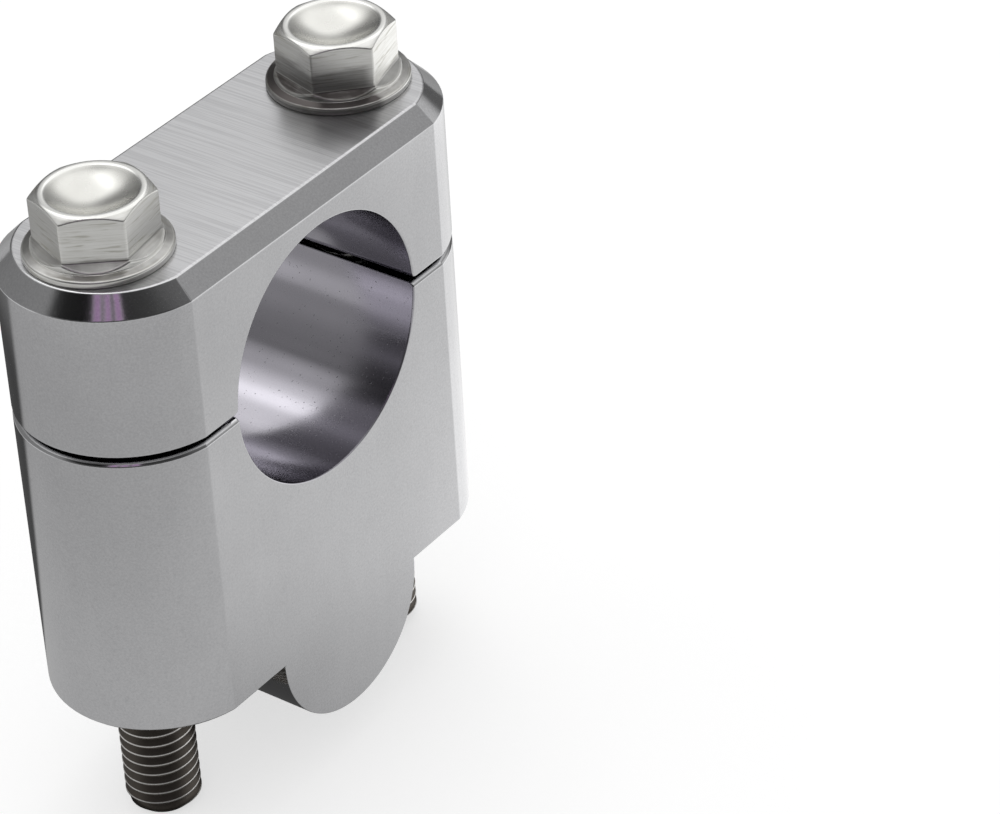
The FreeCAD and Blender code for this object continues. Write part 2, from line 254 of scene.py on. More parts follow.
class Shell:
    """A mesh whose faces share the corners that lie at the same place."""

    def __init__(self):
        self.mesh = bmesh.new()
        self.corners = {}

    def corner(self, point):
        """The mesh corner at a point, made when it is first asked for."""
        key = tuple(round(c / SAME_PLACE) for c in point)
        if key not in self.corners:
            self.corners[key] = self.mesh.verts.new(point)
        return self.corners[key]

    def face(self, points, finish):
        """One face through the points, without the corners that fall together."""
        ring = []
        for point in points:
            corner = self.corner(point)
            if corner not in ring:
                ring.append(corner)
        if len(ring) > 2 and self.mesh.faces.get(ring) is None:
            made = self.mesh.faces.new(ring)
            made.material_index = finish
            made.smooth = True

    def strip(self, first, second, finish):
        """Faces between two rows of as many points."""
        for i in range(len(first) - 1):
            self.face((first[i], first[i + 1], second[i + 1], second[i]), finish)

    def weigh_edges(self, width_at, least_angle=math.radians(9.0)):
        """Weight each sharp outward edge by the width that width_at says. Returns the widest."""
        layer = self.mesh.edges.layers.float.new("bevel_weight_edge")
        widths = {}
        for edge in self.mesh.edges:
            if len(edge.link_faces) == 2 and edge.calc_face_angle_signed(0.0) > least_angle:
                widths[edge] = width_at(edge)
        widest = max(widths.values())
        for edge, width in widths.items():
            edge[layer] = width / widest
        return widest

    def finish(self, name, materials, width_at=None):
        """Turn the shell into an object of the scene, and round its edges by width_at."""
        bmesh.ops.recalc_face_normals(self.mesh, faces=self.mesh.faces)
        widest = self.weigh_edges(width_at) if width_at else None
        data = bpy.data.meshes.new(name)
        self.mesh.to_mesh(data)
        self.mesh.free()
        for material in materials:
            data.materials.append(material)
        piece = bpy.data.objects.new(name, data)
        bpy.context.scene.collection.objects.link(piece)
        if widest:
            rounding = piece.modifiers.new("edges", "BEVEL")
            rounding.limit_method = "WEIGHT"
            rounding.width = widest
            rounding.segments = 3
            rounding.use_clamp_overlap = False
            rounding.harden_normals = True
        even = piece.modifiers.new("even", "WEIGHTED_NORMAL")
        even.keep_sharp = True
        return piece


class Wire:
    """One output of a node tree, on which sums and products add Math nodes."""

    def __init__(self, shader, socket):
        self.shader = shader
        self.socket = socket

    def __add__(self, other):
        return self.shader.maths("ADD", self, other)

    __radd__ = __add__

    def __mul__(self, other):
        return self.shader.maths("MULTIPLY", self, other)

    __rmul__ = __mul__

    def __sub__(self, other):
        return self.shader.maths("SUBTRACT", self, other)

    def __rsub__(self, other):
        return self.shader.maths("SUBTRACT", other, self)


class Shader:
    """The node tree of a material or of the world."""

    def __init__(self, owner):
        owner.use_nodes = True
        self.tree = owner.node_tree
        self.tree.nodes.clear()

    def node(self, kind, settings=None, inputs=None, output=0):
        """Add a node: its settings first, then the values or links of its sockets."""
        made = self.tree.nodes.new(kind)
        for name, setting in (settings or {}).items():
            if name == "stops":
                ramp = made.color_ramp
                while len(ramp.elements) < len(setting):
                    ramp.elements.new(0.5)
                for element, (place, tone) in zip(ramp.elements, setting):
                    element.position = place
                    element.color = (tone, tone, tone, 1.0)
            else:
                setattr(made, name, setting)
        for key, given in (inputs or {}).items():
            socket = made.inputs[key]
            if isinstance(given, Wire):
                self.tree.links.new(given.socket, socket)
            else:
                socket.default_value = given
        return Wire(self, made.outputs[output]) if made.outputs else None

    def maths(self, operation, *numbers):
        """A Math node on wires or numbers."""
        return self.node("ShaderNodeMath", {"operation": operation}, dict(enumerate(numbers)))

    def place(self):
        """Object coordinates, in metres."""
        return self.node("ShaderNodeTexCoord", output="Object")

    def part(self, vector, axis):
        """One of the three numbers of a vector."""
        return self.node("ShaderNodeSeparateXYZ", {}, {0: vector}, output=axis)

    def ray(self, kind):
        """1 on rays of a kind, 0 on all others."""
        return self.node("ShaderNodeLightPath", output=f"Is {kind} Ray")

    def noise(self, vector, scale=1.0, detail=2.0, roughness=0.5):
        """Soft random tones, about 0.5 in the middle."""
        return self.node("ShaderNodeTexNoise", {}, {
            "Vector": vector, "Scale": scale, "Detail": detail, "Roughness": roughness})

    def drawn_out(self, vector, scale, detail, roughness=0.5, shift=(0, 0, 0), turn=(0, 0, 0)):
        """Noise with a scale for each axis, drawn out along the axis with the lowest."""
        moved = self.node("ShaderNodeMapping", {"vector_type": "POINT"}, {
            "Vector": vector, "Location": shift, "Rotation": turn, "Scale": scale})
        return self.noise(moved, detail=detail, roughness=roughness)

    def ramp(self, tone, *stops):
        """A tone remapped by a ramp."""
        return self.node("ShaderNodeValToRGB", {"stops": stops}, {"Fac": tone})

    def between(self, tone, low, high):
        """0 below low, 1 above high, smooth between."""
        return self.node("ShaderNodeMapRange", {"interpolation_type": "SMOOTHSTEP"},
                         {0: tone, 1: low, 2: high, 3: 0.0, 4: 1.0})

    def blend(self, factor, first, second):
        """A mix of two colours, each a wire or three numbers."""
        rgba = [c if isinstance(c, Wire) else (*c, 1.0) for c in (first, second)]
        return self.node("ShaderNodeMix", {"data_type": "RGBA"},
                         {0: factor, 6: rgba[0], 7: rgba[1]}, output=2)

    def bump(self, height, distance, strength, normal=None):
        """A surface roughened by a height, over another bump if one is given."""
        inputs = {"Height": height, "Distance": distance, "Strength": strength}
        if normal:
            inputs["Normal"] = normal
        return self.node("ShaderNodeBump", {}, inputs)

    def metal(self, base, roughness, normal):
        """A metal surface as the material's output."""
        surface = self.node("ShaderNodeBsdfPrincipled", {}, {
            "Base Color": base, "Metallic": 1.0, "Roughness": roughness, "Normal": normal})
        self.node("ShaderNodeOutputMaterial", {}, {"Surface": surface})


def polished_aluminium(shader, place, scene):
    """Hand-polished sides: faint haze, wiping strokes, a fine grain and pinpoint marks."""
    finishes = scene.finishes
    haze = shader.noise(place, scale=90.0, detail=3.0, roughness=0.55)
    strokes = shader.drawn_out(place, (500.0, 500.0, 60.0), detail=3.0, turn=(0.3, 0.2, 0.5))
    cross = shader.drawn_out(place, (90.0, 90.0, 700.0), detail=2.0, turn=(0.1, 0.35, 0.2))
    marks = shader.between(shader.noise(place, scale=1600.0, detail=0.0), 0.72, 0.8)
    grain = shader.noise(place, scale=4200.0, detail=1.0)
    dull = haze * 0.9 + strokes * 0.3 + grain * 1.6 - 1.0 + marks * 0.15
    base = shader.blend(dull, finishes.aluminium, finishes.aluminium_dull)
    roughness = 0.06 + haze * 0.05 + strokes * 0.04 + marks * 0.05
    wavy = shader.bump(shader.noise(place, scale=140.0, detail=1.0), 0.05 * MM, 0.6)
    shader.metal(base, roughness, shader.bump(strokes + cross, 0.0012 * MM, 0.6, wavy))


def brushed_aluminium(shader, place, scene):
    """The cap's top, brushed across its width."""
    finishes = scene.finishes
    fine = shader.drawn_out(place, (4200.0, 45.0, 1.0), detail=3.0, roughness=0.7)
    broad = shader.drawn_out(place, (1300.0, 40.0, 1.0), detail=3.0, roughness=0.6,
                             shift=(3.0, 1.0, 0.0))
    haze = shader.noise(place, scale=70.0)
    lines = shader.between(fine, 0.4, 0.6) * 1.1 + shader.between(broad, 0.4, 0.7) * 0.3 - 0.2
    base = shader.blend(lines, finishes.aluminium, finishes.aluminium_dull)
    roughness = 0.24 + broad * 0.12 + haze * 0.06
    shader.metal(base, roughness, shader.bump(fine + broad * 0.5, 0.012 * MM, 0.8))


def bored_aluminium(shader, place, scene):
    """The bore: polished, with fine lines along the bar and small pits, its colours painted darker
    and lilac as painted shade and a painted reflection.
    """
    finishes = scene.finishes
    lines = shader.drawn_out(place, (900.0, 60.0, 900.0), detail=3.0, roughness=0.6)
    haze = shader.noise(place, scale=110.0, detail=3.0)
    pits = shader.between(shader.noise(place, scale=3600.0, detail=0.0), 0.74, 0.82)
    base = shader.blend(haze * 0.6 + pits * 0.4, finishes.bore, finishes.bore_dull)
    roughness = 0.08 + haze * 0.1 + lines * 0.06 + pits * 0.2
    shader.metal(base, roughness, shader.bump(lines + pits * 0.3, 0.0015 * MM, 0.7))


def bolt_radius(shader, place, clamp):
    """Distance from the axis of the nearer bolt."""
    x = shader.maths("ABSOLUTE", shader.part(place, "X")) - clamp.bolt_x
    y = shader.part(place, "Y")
    return shader.maths("SQRT", x * x + y * y)


def plated_steel(shader, place, scene):
    """Bolt heads: bright warm plating, level tool marks on the flats, and grime with painted shade
    in the corners.
    """
    finishes, sizes, clamp = scene.finishes, scene.bolt_sizes, scene.clamp_sizes
    collar, foot = clamp.cap_height + sizes.collar_top, clamp.cap_height + sizes.facet_top
    x, z = shader.part(place, "X"), shader.part(place, "Z")
    radius = bolt_radius(shader, place, clamp)
    haze = shader.noise(place, scale=260.0, detail=3.0, roughness=0.6)
    grains = shader.noise(place, scale=2400.0)

    # Tool marks on the flats, and the duller dish.
    flats = shader.between(radius, sizes.half_flats - 0.1 * MM, sizes.half_flats - 0.02 * MM)
    dish = 1.0 - shader.between(radius, sizes.dish_radius - 0.3 * MM, sizes.dish_radius)
    level = shader.drawn_out(place, (150.0, 150.0, 6200.0), detail=4.0, roughness=0.75)
    cuts = shader.drawn_out(place, (260.0, 260.0, 3000.0), detail=2.0, shift=(1.0, 2.0, 0.0))
    lines = shader.between(level, 0.42, 0.64) * 0.35 + shader.between(cuts, 0.58, 0.68) * 0.6
    lines *= flats

    # Painted shade mixed with grime round each head's foot: a band low on the flats, a darker
    # patch low on the rear head's left, the feet of the flats, and the flange's sloped top.
    ragged = shader.drawn_out(place, (150.0, 150.0, 900.0), detail=3.0, roughness=0.6,
                            shift=(4.0, 0.0, 2.0)) - 0.5
    above = z - foot + ragged * 1.2 * MM
    on_flats = shader.between(z, foot - 0.03 * MM, foot + 0.03 * MM)
    band = (1.0 - shader.between(above, 0.1 * MM, 0.5 * MM)) * on_flats
    rear = shader.between(x, -1.0 * MM, 1.0 * MM)
    rear *= 1.0 - shader.between(x - clamp.bolt_x, -2.6 * MM, -1.4 * MM)
    rear_patch = rear * (1.0 - shader.between(above + ragged * 1.5 * MM, 1.4 * MM, 2.8 * MM))
    rear_patch *= 0.3 + level * 0.6
    step = sizes.collar_radius
    feet = shader.between(z, collar - 0.1 * MM, collar + 0.1 * MM) * (1.0 - on_flats)
    feet *= 1.0 - shader.between(radius, step - 0.3 * MM, step - 0.1 * MM)
    rim = sizes.flange_radius
    skirt = shader.between(radius, step + 0.03 * MM, step + 0.12 * MM)
    skirt *= 1.0 - shader.between(radius, rim - 0.3 * MM, rim - 0.1 * MM)
    patches = 0.42 + 0.3 * shader.between(haze, 0.3, 0.7)
    grime_and_painted_shade = band * 0.6 + rear_patch * (1.0 - band) + (feet * 0.6 + skirt) * patches

    worn = haze * 0.3 + lines + dish * 0.3
    base = shader.blend(worn, finishes.steel, finishes.steel_dull)
    # Painted shade and grime: the dark colour laid into the corners round the foot of each head.
    base = shader.blend(grime_and_painted_shade, base, finishes.darkening)
    roughness = 0.12 + haze * 0.1 + flats * 0.12 + lines * 0.1 + dish * 0.1
    height = (level + cuts * 0.6) * flats + grains * 0.2
    shader.metal(base, roughness, shader.bump(height, 0.008 * MM, 0.7))


def oiled_thread(shader, place, scene):
    """Thread: dark oiled flanks, and rubbed crests painted near white with a painted highlight."""
    finishes = scene.finishes
    radius = bolt_radius(shader, place, scene.clamp_sizes)
    outer = scene.bolt_sizes.thread_radius
    crest = shader.between(radius, outer - 0.08 * MM, outer - 0.02 * MM)
    darkening = shader.noise(place, scale=700.0, detail=3.0, roughness=0.6)
    # The crests take the near white colour: wear with a painted highlight.
    base = shader.blend(crest * 1.2 - darkening * 0.4, finishes.thread, finishes.crest_wear_and_highlight)
    roughness = 0.34 + darkening * 0.2 - crest * 0.1
    shader.metal(base, roughness, shader.bump(darkening, 0.01 * MM, 0.6))


METALS = {
    "polished_sides": polished_aluminium,
    "brushed_top": brushed_aluminium,
    "polished_bore": bored_aluminium,
    "plated_head": plated_steel,
    "oiled_thread": oiled_thread,
}


def metals(scene, *names):
    """The materials of those names, each made when it is first asked for."""
    found = []
    for name in names:
        material = bpy.data.materials.get(name)
        if material is None:
            material = bpy.data.materials.new(name)
            shader = Shader(material)
            METALS[name](shader, shader.place(), scene)
        found.append(material)
    return found


def end_arc(sizes, inset, side):
    """A rounded end of the plan, moved inward by inset, from its near crease to its far one."""
    reach = sizes.end_x - sizes.crease_x
    full = (reach ** 2 + sizes.half_width ** 2) / (2.0 * reach)
    radius = full - inset
    sweep = math.asin((sizes.half_width - inset) / radius)
    points = []
    for i in range(END_STEPS + 1):
        turn = sweep * (2.0 * i / END_STEPS - 1.0)
        x = sizes.end_x - full + radius * math.cos(turn)
        points.append((side * x, radius * math.sin(turn)))
    return points


def jaw_section(sizes, rise, jaw_round):
    """The bore from the slit up to its top, as half widths and heights, with the jaw's rounding."""
    bore, start = sizes.bore_radius, sizes.half_gap
    heights = {start, start + rise}
    touch = start
    hub = 0.0
    if jaw_round:
        hub = math.sqrt((bore + jaw_round) ** 2 - (start + jaw_round) ** 2)
        touch = (start + jaw_round) * bore / (bore + jaw_round)
        low = math.acos((start + jaw_round - touch) / jaw_round)
        for i in range(1, JAW_STEPS + 1):
            heights.add(start + jaw_round - jaw_round * math.cos(low * i / JAW_STEPS))
    first = math.asin(touch / bore)
    for i in range(BORE_STEPS + 1):
        heights.add(bore * math.sin(first + (math.pi / 2.0 - first) * i / BORE_STEPS))

    # Heights that crowd the slit's bevel would make slivers.
    fixed = (start, start + rise)
    crowd, crown = 0.12 * MM, bore - 0.5 * MM
    points = []
    for height in sorted(heights):
        if height not in fixed and height <= crown:
            if min(abs(height - level) for level in fixed) <= crowd:
                continue
        if height < touch:
            across = hub - math.sqrt(max(0.0, jaw_round ** 2 - (start + jaw_round - height) ** 2))
        else:
            across = math.sqrt(max(0.0, bore ** 2 - height ** 2))
        points.append((across, height))
    return points


def half_of(arc, near):
    """The near or the far half of a rounded end, from its tip to its crease."""
    middle = len(arc) // 2
    return arc[middle::-1] if near < 0 else arc[middle:]


class ClampHalf:
    """One half of the clamp as a closed shell: up is 1 for the cap and -1 for the body.

    Levels are counted from the middle of the bore, up for the cap and down for the body. The
    slit's face is at split, the end's face, which is the cap's top or the body's seat, at height.
    """

    def __init__(self, sizes, up, height, split_bevel, end_bevel, jaw_round=0.0, lug_radius=0.0):
        self.shell = Shell()
        self.sizes, self.up, self.height = sizes, up, height
        self.end_bevel, self.split_bevel = end_bevel, split_bevel
        self.split, self.split_wall = sizes.half_gap, sizes.half_gap + split_bevel
        self.end_wall = height - end_bevel
        self.jaw = jaw_section(sizes, split_bevel, jaw_round)
        self.mouth = [(-x, h) for x, h in self.jaw[:-1]]
        self.mouth += [(0.0, sizes.bore_radius)] + self.jaw[-2::-1]
        self.lug_radius = lug_radius
        self.lug_wall, self.lug_arc = self.lug_outline() if lug_radius else ([], [])
        self.split_arcs, self.wall_arcs, self.end_arcs = (
            {side: end_arc(sizes, inset, side) for side in BOTH}
            for inset in (split_bevel, 0.0, end_bevel)
        )
        self.add_curve(self.mouth, (0.0,), BORE)
        for near in BOTH:
            self.add_flat(near)
        self.add_ends()
        self.add_level_faces(self.add_holes())

    def at(self, x, y, level):
        """A point, by its level in this half."""
        return (x, y, self.up * level)

    def width_at(self, level):
        """Half the width at a level, narrower over the bevel at the slit."""
        return self.sizes.half_width - max(0.0, self.split_wall - level)

    def lug_outline(self):
        """The lug's outline: the part that rises through the end's bevel, and its half circle."""
        radius, height = self.lug_radius, self.height
        wall = []
        for part in (0.0, 0.5, 1.0):
            level = self.end_wall + self.end_bevel * part
            wall.append((math.sqrt(radius ** 2 - (height - level) ** 2), level))
        turns = [math.pi * i / LUG_STEPS for i in range(LUG_STEPS + 1)]
        return wall, [(radius * math.cos(a), height + radius * math.sin(a)) for a in turns]

    def add_curve(self, outline, middles, finish):
        """A curved face across the width, with points at middles on its first and last line."""
        last = len(outline) - 2
        for i, ((x0, h0), (x1, h1)) in enumerate(zip(outline, outline[1:])):
            ring = [self.at(x0, -self.width_at(h0), h0)]
            ring += [self.at(x0, y, h0) for y in middles] if i == 0 else []
            ring += [self.at(x0, self.width_at(h0), h0), self.at(x1, self.width_at(h1), h1)]
            ring += [self.at(x1, y, h1) for y in reversed(middles)] if i == last else []
            ring += [self.at(x1, -self.width_at(h1), h1)]
            self.shell.face(ring, finish)

    def add_flat(self, near):
        """A flat side round the bore's mouth, with its bevels at the slit and at the end."""
        at, shell = self.at, self.shell
        crease, width = self.sizes.crease_x, self.sizes.half_width
        outline = [(x, h) for x, h in self.mouth if h > self.split_wall - TOUCH]
        outline += [(crease, self.split_wall), (crease, self.end_wall), *self.lug_wall]
        outline += self.lug_arc + [(-x, h) for x, h in reversed(self.lug_wall)]
        outline += [(-crease, self.end_wall), (-crease, self.split_wall)]
        shell.face([at(x, near * width, h) for x, h in outline], SIDES)

        tip = 0 if near < 0 else -1
        lower = [(x, h) for x, h in self.jaw if h < self.split_wall + TOUCH]
        for side in BOTH:
            ring = [at(side * crease, near * width, self.split_wall)]
            ring += [at(side * x, near * self.width_at(h), h) for x, h in reversed(lower)]
            ring += [at(*self.split_arcs[side][tip], self.split)]
            shell.face(ring, SIDES)
            if self.lug_radius:
                slope = [at(side * x, near * (width - (h - self.end_wall)), h)
                         for x, h in self.lug_wall]
                ring = [at(side * crease, near * width, self.end_wall), *slope]
                ring += [at(*self.end_arcs[side][tip], self.height)]
                shell.face(ring, SIDES)
                ring = [at(side * x, near * width, h) for x, h in self.lug_wall]
                shell.face(ring + slope[::-1], SIDES)
        if not self.lug_radius:
            ring = [at(side * crease, near * width, self.end_wall) for side in BOTH]
            ring += [at(*self.end_arcs[side][tip], self.height) for side in (1, -1)]
            shell.face(ring, SIDES)

    def add_ends(self):
        """The rounded ends: a bevel, the upright wall and a bevel."""
        for side in BOTH:
            rows = []
            for arcs, level in ((self.split_arcs, self.split), (self.wall_arcs, self.split_wall),
                                (self.wall_arcs, self.end_wall), (self.end_arcs, self.height)):
                rows.append([self.at(x, y, level) for x, y in arcs[side]])
            for first, second in zip(rows, rows[1:]):
                self.shell.strip(first, second, SIDES)

    def add_holes(self):
        """The bolt holes' walls, each hole as two half circles, which stay clear of the jaw."""
        sizes, holes = self.sizes, {}
        clear = self.jaw[0][0] + 0.05 * MM
        for side in BOTH:
            for near in BOTH:
                arc = []
                for i in range(HOLE_STEPS + 1):
                    turn = math.pi * (1.0 - i / HOLE_STEPS)
                    x = max(sizes.bolt_x + sizes.hole_radius * math.cos(turn), clear)
                    arc.append((side * x, near * sizes.hole_radius * math.sin(turn)))
                holes[side, near] = arc
                rows = [[self.at(x, y, h) for x, y in arc] for h in (self.split, self.height)]
                self.shell.strip(*rows, HIDDEN)
        return holes

    def add_level_faces(self, holes):
        """The faces at the slit, and the cap's top or the body's seats and lug."""
        levels = [(self.split, self.split_arcs, self.jaw[0][0])]
        if self.lug_radius:
            levels.append((self.height, self.end_arcs, self.lug_radius))
        for (side, near), hole in holes.items():
            for level, arcs, inner_x in levels:
                edge = half_of(arcs[side], near)
                ring = [(side * inner_x, 0.0), *hole, *edge, (side * inner_x, edge[-1][1])]
                self.shell.face([self.at(x, y, level) for x, y in ring], HIDDEN)
        if self.lug_radius:
            seat = self.sizes.half_width - self.end_bevel
            self.add_curve(self.lug_arc, (-seat, 0.0, seat), SIDES)
            return
        for near in BOTH:
            front, rear = (half_of(self.end_arcs[side], near) for side in BOTH)
            ring = [*front, *reversed(rear), *reversed(holes[1, near]), *holes[-1, near]]
            self.shell.face([self.at(x, y, self.height) for x, y in ring], TOP)

    def edge_width(self, edge):
        """How widely an edge is rounded."""
        first, second = (corner.co for corner in edge.verts)
        finishes = {face.material_index for face in edge.link_faces}
        if BORE in finishes and abs(first.y - second.y) < 1.1 * self.split_bevel:
            return self.sizes.mouth_break
        if finishes == {SIDES, HIDDEN} and self.up < 0 and abs(first.z) < self.split_wall:
            return self.sizes.seam_break
        return self.sizes.top_break if TOP in finishes else self.sizes.edge_break

    def finish(self, name, scene):
        """Turn this half into an object of the scene."""
        hidden = sides = "polished_sides"
        materials = metals(scene, sides, "brushed_top", "polished_bore", hidden)
        return self.shell.finish(name, materials, self.edge_width)


class BuildTopCap(bpy.types.Operator):
    """Build the cap with its bevelled, brushed top"""

    bl_idname = "riser.build_top_cap"
    bl_label = "Top cap"

    def execute(self, context):
        sizes = context.scene.clamp_sizes
        cap = ClampHalf(sizes, 1, sizes.cap_height, sizes.cap_skirt, sizes.cap_bevel,
                        jaw_round=sizes.jaw_round)
        piece = cap.finish("top_cap_polished", context.scene)
        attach(piece, BODY)
        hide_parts("top_cap")
        return {"FINISHED"}


class BuildRiserBody(bpy.types.Operator):
    """Build the tall body with its two columns and the lug"""

    bl_idname = "riser.build_riser_body"
    bl_label = "Riser body"

    def execute(self, context):
        sizes = context.scene.clamp_sizes
        body = ClampHalf(sizes, -1, sizes.seat_depth, sizes.seam_bevel, sizes.seat_break,
                         lug_radius=sizes.lug_radius)
        piece = body.finish("riser_body_polished", context.scene)
        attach(piece, BODY)
        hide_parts("riser_body")
        return {"FINISHED"}


def softened(points):
    """A profile with each corner that has a cut rounded by a short curve."""
    rows = []
    for i, (r, z, cut) in enumerate(points):
        here = Vector((r, z))
        if cut <= 0.0 or i in (0, len(points) - 1):
            rows.append(here)
            continue
        back = Vector(points[i - 1][:2]) - here
        ahead = Vector(points[i + 1][:2]) - here
        start = here + back.normalized() * min(cut, 0.45 * back.length)
        end = here + ahead.normalized() * min(cut, 0.45 * ahead.length)
        for k in range(SOFT_STEPS + 1):
            u = k / SOFT_STEPS
            rows.append((1 - u) ** 2 * start + 2 * u * (1 - u) * here + u ** 2 * end)
    return rows


def hexagon_reach(sizes, slant):
    """Centre to the hexagon's surface, at an angle from the middle of a flat."""
    apothem, rounding = sizes.half_flats, sizes.corner_round
    meets = math.atan2((apothem - rounding) * math.tan(math.pi / 6.0), apothem)
    if abs(slant) <= meets:
        return apothem / math.cos(slant)
    hub = (apothem - rounding) / math.cos(math.pi / 6.0)
    off = math.pi / 6.0 - abs(slant)
    return hub * math.cos(off) + math.sqrt(rounding ** 2 - (hub * math.sin(off)) ** 2)


def head_column(sizes, slant, depth):
    """The bolt's profile at one angle, from the middle of the dish down to the shank's end."""
    ball = (sizes.dish_radius ** 2 + sizes.dish_depth ** 2) / (2.0 * sizes.dish_depth)
    floor = sizes.head_top - sizes.dish_depth
    rows = []
    for i in range(1, DISH_STEPS):
        r = sizes.dish_radius * i / DISH_STEPS
        rows.append((r, floor + ball - math.sqrt(ball ** 2 - r ** 2), 0.0))
    reach = hexagon_reach(sizes, slant)
    crown = sizes.head_top - (reach - sizes.crown_radius) * math.tan(sizes.crown_slope)
    # The foot of a flat slopes out until it meets the round step, lowest at the flat's middle.
    drop = (sizes.collar_radius * math.cos(slant) - sizes.half_flats) / sizes.facet_flare
    drop = min(1.0, max(0.0, drop))
    foot = (sizes.half_flats + sizes.facet_flare * drop) / math.cos(slant)
    foot = min(sizes.collar_radius, foot)
    foot_z = sizes.facet_top - (sizes.facet_top - sizes.collar_top) * drop
    inner = sizes.flange_radius - sizes.rim_break
    # Each row is a radius, a height and how far its corner is softened.
    rows += [
        (sizes.dish_radius, sizes.head_top, 0.16 * MM),
        (sizes.crown_radius, sizes.head_top, 0.14 * MM),
        (reach, crown, 0.12 * MM),
        (reach, sizes.facet_top, 0.12 * MM),
        (foot, foot_z, 0.16 * MM),
        (sizes.collar_radius, sizes.skirt_top, 0.1 * MM),
        (inner, sizes.rim_height, 0.12 * MM),
        (sizes.flange_radius, sizes.rim_height - sizes.rim_break, 0.12 * MM),
        (sizes.flange_radius, sizes.rim_break, 0.1 * MM),
        (inner, 0.0, 0.05 * MM),
        (sizes.shank_radius, 0.0, 0.0),
        (sizes.shank_radius, -depth, 0.0),
    ]
    return softened(rows)


def add_head(shell, sizes, depth):
    """Head, flange and plain shank."""
    columns = []
    for sector in range(6):
        for slant in map(math.radians, SLANTS):
            way = math.pi / 6.0 + sector * math.pi / 3.0 + slant
            rows = head_column(sizes, slant, depth)
            columns.append([(r * math.cos(way), r * math.sin(way), z) for r, z in rows])
    middle = (0.0, 0.0, sizes.head_top - sizes.dish_depth)
    for column, following in zip(columns, columns[1:] + columns[:1]):
        shell.face((middle, column[0], following[0]), HEAD)
        shell.strip(column, following, HEAD)
    shell.face([column[-1] for column in columns], HEAD)


def add_thread(shell, sizes, start, end):
    """A right-hand thread with true ridges, from start down to the bevelled end."""
    crest, root = sizes.thread_radius, sizes.thread_radius - sizes.thread_depth
    curve = root + 0.03 * MM
    # Share of the pitch and radius: the flat crest, a flank, the curved root and the other flank.
    profile = ((0.0, crest), (0.125, crest), (0.43, curve), (0.5625, root), (0.695, curve))
    # More turns than fit, so that both ends are cut off level.
    turns = int((start - end) / sizes.pitch) + 3
    grid = []
    for i in range(THREAD_STEPS + 1):
        way = 2.0 * math.pi * i / THREAD_STEPS
        column = []
        for turn in range(turns):
            for share_of_pitch, radius in profile:
                z = end + sizes.pitch * (turn - 1 + share_of_pitch + i / THREAD_STEPS)
                z = min(max(z, end), start)
                radius = min(radius, crest - sizes.tip_chamfer + z - end)
                if z in (start, end):
                    radius = root - (sizes.tip_chamfer - sizes.thread_depth if z == end else 0.0)
                column.append((radius * math.cos(way), radius * math.sin(way), z))
        grid.append(column)
    for column, following in zip(grid, grid[1:]):
        shell.strip(column, following, THREAD)
    for row in (0, -1):
        shell.face([column[row] for column in grid[:-1]], THREAD)


class BuildFlangeBolts(bpy.types.Operator):
    """Build the two long flange bolts with dished heads and real threads"""

    bl_idname = "riser.build_flange_bolts"
    bl_label = "Flange bolts"

    def execute(self, context):
        scene = context.scene
        sizes, clamp = scene.bolt_sizes, scene.clamp_sizes
        seat = -(clamp.cap_height + clamp.seat_depth)
        thread_start = seat + sizes.thread_inside
        turns = {"front_bolt": sizes.front_turn, "rear_bolt": sizes.rear_turn}
        for side, (node, turn) in zip(BOTH, turns.items()):
            shell = Shell()
            add_head(shell, sizes, -thread_start)
            add_thread(shell, sizes, thread_start, seat - sizes.reach)
            place = Matrix.Translation((side * clamp.bolt_x, 0.0, clamp.cap_height))
            turned = place @ Matrix.Rotation(turn, 4, "Z")
            bmesh.ops.transform(shell.mesh, matrix=turned, verts=shell.mesh.verts)
            materials = metals(scene, "plated_head", "oiled_thread")
            piece = shell.finish(f"{node}_threaded", materials)
            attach(piece, BODY)
            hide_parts(node)
        return {"FINISHED"}


def compass(shader, vector):
    """The way a vector points in plan, as a share of a turn: 0.5 is along +X, 0.75 along +Y."""
    turn = shader.maths("ARCTAN2", shader.part(vector, "Y"), shader.part(vector, "X"))
    return turn * (0.5 / math.pi) + 0.5


def around(shader, way, stops):
    """A tone by compass direction, from stops in degrees."""
    return shader.ramp(way, *((degrees / 360.0 + 0.5, tone) for degrees, tone in stops))


def sky_tone(shader, vector):
    """Reflected sky: a large soft box high up behind on the right, a dim room and a pale wall."""
    way, up = compass(shader, vector), shader.part(vector, "Z")
    facing = shader.node("ShaderNodeVectorMath", {"operation": "DOT_PRODUCT"},
                         {0: vector, 1: SOFTBOX_WAY}, output="Value")
    front = around(shader, way, FRONT_STOPS)
    shown = front + (1.0 - front) * shader.between(up, 0.85, 0.96)
    box = shader.ramp(facing, *SKY_STOPS) * shown
    box *= 1.0 - around(shader, way, DIM_STOPS) * (1.0 - shader.between(up, 0.5, 0.68))
    room = shader.maths("MAXIMUM", box, around(shader, way, LEAST_STOPS))
    room *= 1.0 + around(shader, way, BACK_STOPS)
    room *= 1.0 - around(shader, way, DARK_STOPS) * shader.between(up, 0.65, 0.71)
    return room + around(shader, way, WALL_STOPS) * (1.0 - shader.between(up, 0.1, 0.5))


def lilac_tubes(shader, vector):
    """Three lilac tubes over the front, seen as streaks in the cap's bevel."""
    way, up = compass(shader, vector), shader.part(vector, "Z")
    tubes = around(shader, way, TUBE_STOPS) * shader.between(up, 0.7, 0.74)
    return tubes * (1.0 - shader.between(up, 0.88, 0.92))


